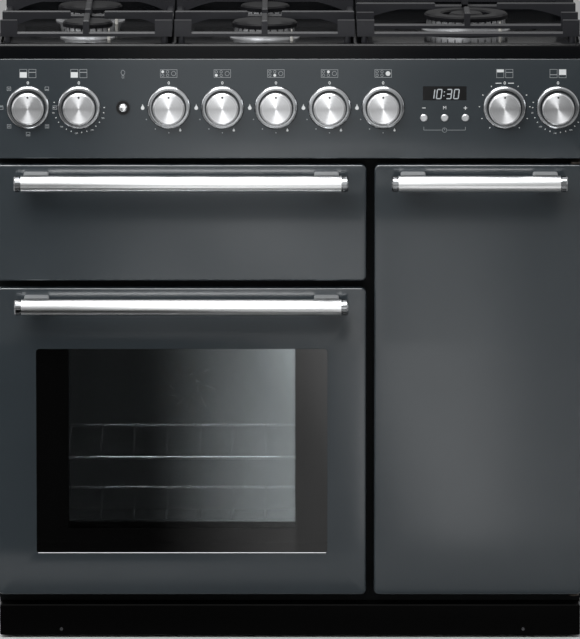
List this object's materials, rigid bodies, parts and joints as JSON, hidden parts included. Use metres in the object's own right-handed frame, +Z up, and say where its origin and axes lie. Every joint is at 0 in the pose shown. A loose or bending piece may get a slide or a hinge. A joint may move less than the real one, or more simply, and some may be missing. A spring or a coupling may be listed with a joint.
{
  "type": "gas range cooker",
  "caption": "Wide dual-fuel range cooker with a gas hob over iron pan supports, a glide-out grill, a windowed oven and a tall side oven",
  "frame": {"origin": "on the floor under the middle of the bounding box", "axes": "+Z up, -Y out of the doors, +X to the right as seen from the front"},
  "size_m": [0.9, 0.6664, 0.973],
  "materials": {
    "slate_enamel": "gloss enamel",
    "black_enamel": "gloss enamel",
    "oven_enamel": "speckled enamel",
    "plated_steel": "zinc plated",
    "chromed_wire": "polished",
    "bright_metal": "satin chrome",
    "spun_metal": "spun",
    "iron": "matt enamelled",
    "cast_alloy": "cast",
    "valve_brass": "machined",
    "black_plastic": "moulded",
    "white_ceramic": "glazed",
    "oven_glass": "clear, black border",
    "seal_rubber": "moulded"
  },
  "bodies": {
    "cabinet": {"control_panel": "slate_enamel", "side_panel_left": "slate_enamel", "side_panel_right": "slate_enamel", "hob_tray": "black_enamel", "rear_vent": "black_enamel", "plinth": "black_enamel", "front_frame": "black_enamel", "burner_caps": "black_enamel", "grill_liner": "oven_enamel", "oven_liner": "oven_enamel", "tall_oven_liner": "oven_enamel", "fan_covers": "oven_enamel", "base_tray": "plated_steel", "back_panel": "plated_steel", "gas_rail": "plated_steel", "burner_pipes": "plated_steel", "oven_hinge_brackets": "plated_steel", "tall_oven_hinge_brackets": "plated_steel", "fan_motors": "plated_steel", "grill_element": "plated_steel", "side_racks": "chromed_wire", "oven_shelves": "chromed_wire", "knob_bezels": "bright_metal", "burner_bases": "cast_alloy", "gas_valves": "valve_brass", "panel_switches": "black_plastic", "clock_module": "black_plastic", "front_feet": "black_plastic", "spark_electrodes": "white_ceramic", "door_seals": "seal_rubber"},
    "grill": {"grill_door": "slate_enamel", "grill_carriage": "oven_enamel", "grill_pan": "oven_enamel", "grill_handle": "bright_metal"},
    "oven_door": {"oven_door_panel": "slate_enamel", "oven_door_glass": "oven_glass", "oven_door_liner": "oven_enamel", "oven_handle": "bright_metal"},
    "tall_door": {"tall_door_panel": "slate_enamel", "tall_door_liner": "oven_enamel", "tall_handle": "bright_metal"},
    "pan_support_left": {"pan_support_left": "iron"},
    "pan_support_centre": {"pan_support_centre": "iron"},
    "pan_support_right": {"pan_support_right": "iron"},
    "oven_function_knob": {"oven_function_knob": "spun_metal"},
    "oven_temperature_knob": {"oven_temperature_knob": "spun_metal"},
    "rear_left_knob": {"rear_left_knob": "spun_metal"},
    "front_left_knob": {"front_left_knob": "spun_metal"},
    "front_centre_knob": {"front_centre_knob": "spun_metal"},
    "rear_centre_knob": {"rear_centre_knob": "spun_metal"},
    "wok_knob": {"wok_knob": "spun_metal"},
    "grill_knob": {"grill_knob": "spun_metal"},
    "tall_oven_knob": {"tall_oven_knob": "spun_metal"},
    "minus_button": {"minus_button": "spun_metal"},
    "mode_button": {"mode_button": "spun_metal"},
    "plus_button": {"plus_button": "spun_metal"},
    "light_button": {"light_button": "spun_metal"},
    "rear_rollers": {"rear_rollers": "black_plastic"},
    "oven_fan": {"oven_fan": "cast_alloy"},
    "tall_oven_fan": {"tall_oven_fan": "cast_alloy"}
  },
  "joints": [
    {"name": "oven_door_hinge", "type": "hinge", "parent": "cabinet", "child": "oven_door", "pos_m": [-0.1665, -0.26075, 0.084], "axis": [1, 0, 0], "range_deg": [0, 90], "stiffness_Nm_per_rad": 5, "springref_deg": -22.92},
    {"name": "tall_door_hinge", "type": "hinge", "parent": "cabinet", "child": "tall_door", "pos_m": [0.438, -0.26075, 0.403], "axis": [0, 0, 1], "range_deg": [0, 110]},
    {"name": "grill_glide", "type": "slide", "parent": "cabinet", "child": "grill", "axis": [0, -1, 0], "range_m": [0, 0.3]},
    {"name": "pan_support_left_lift", "type": "slide", "parent": "cabinet", "child": "pan_support_left", "axis": [0, 0, 1], "range_m": [0, 0.12]},
    {"name": "pan_support_centre_lift", "type": "slide", "parent": "cabinet", "child": "pan_support_centre", "axis": [0, 0, 1], "range_m": [0, 0.12]},
    {"name": "pan_support_right_lift", "type": "slide", "parent": "cabinet", "child": "pan_support_right", "axis": [0, 0, 1], "range_m": [0, 0.12]},
    {"name": "oven_function_knob_turn", "type": "hinge", "parent": "cabinet", "child": "oven_function_knob", "pos_m": [-0.401, -0.28675, 0.8265], "axis": [0, 1, 0], "range_deg": [0, 315]},
    {"name": "oven_temperature_knob_turn", "type": "hinge", "parent": "cabinet", "child": "oven_temperature_knob", "pos_m": [-0.323, -0.28675, 0.8265], "axis": [0, 1, 0], "range_deg": [0, 270]},
    {"name": "rear_left_knob_turn", "type": "hinge", "parent": "cabinet", "child": "rear_left_knob", "pos_m": [-0.1855, -0.28675, 0.8265], "axis": [0, -1, 0], "range_deg": [0, 210]},
    {"name": "front_left_knob_turn", "type": "hinge", "parent": "cabinet", "child": "front_left_knob", "pos_m": [-0.1035, -0.28675, 0.8265], "axis": [0, -1, 0], "range_deg": [0, 210]},
    {"name": "front_centre_knob_turn", "type": "hinge", "parent": "cabinet", "child": "front_centre_knob", "pos_m": [-0.0215, -0.28675, 0.8265], "axis": [0, -1, 0], "range_deg": [0, 210]},
    {"name": "rear_centre_knob_turn", "type": "hinge", "parent": "cabinet", "child": "rear_centre_knob", "pos_m": [0.0605, -0.28675, 0.8265], "axis": [0, -1, 0], "range_deg": [0, 210]},
    {"name": "wok_knob_turn", "type": "hinge", "parent": "cabinet", "child": "wok_knob", "pos_m": [0.1425, -0.28675, 0.8265], "axis": [0, -1, 0], "range_deg": [0, 210]},
    {"name": "grill_knob_turn", "type": "hinge", "parent": "cabinet", "child": "grill_knob", "pos_m": [0.3285, -0.28675, 0.8265], "axis": [0, 1, 0], "range_deg": [-165, 165]},
    {"name": "tall_oven_knob_turn", "type": "hinge", "parent": "cabinet", "child": "tall_oven_knob", "pos_m": [0.41, -0.28675, 0.8265], "axis": [0, 1, 0], "range_deg": [0, 270]},
    {"name": "light_button_press", "type": "slide", "parent": "cabinet", "child": "light_button", "axis": [0, 1, 0], "range_m": [0, 0.003], "stiffness_N_per_m": 400, "springref_m": -0.001},
    {"name": "minus_button_press", "type": "slide", "parent": "cabinet", "child": "minus_button", "axis": [0, 1, 0], "range_m": [0, 0.0012], "stiffness_N_per_m": 500, "springref_m": -0.0005},
    {"name": "mode_button_press", "type": "slide", "parent": "cabinet", "child": "mode_button", "axis": [0, 1, 0], "range_m": [0, 0.0012], "stiffness_N_per_m": 500, "springref_m": -0.0005},
    {"name": "plus_button_press", "type": "slide", "parent": "cabinet", "child": "plus_button", "axis": [0, 1, 0], "range_m": [0, 0.0012], "stiffness_N_per_m": 500, "springref_m": -0.0005},
    {"name": "rear_roller_spin", "type": "hinge", "parent": "cabinet", "child": "rear_rollers", "pos_m": [0, 0.22525, 0.022], "axis": [1, 0, 0], "continuous": true},
    {"name": "oven_fan_spin", "type": "hinge", "parent": "cabinet", "child": "oven_fan", "pos_m": [-0.1665, 0.16525, 0.32], "axis": [0, 1, 0], "continuous": true},
    {"name": "tall_oven_fan_spin", "type": "hinge", "parent": "cabinet", "child": "tall_oven_fan", "pos_m": [0.28975, 0.16525, 0.4125], "axis": [0, 1, 0], "continuous": true}
  ]
}
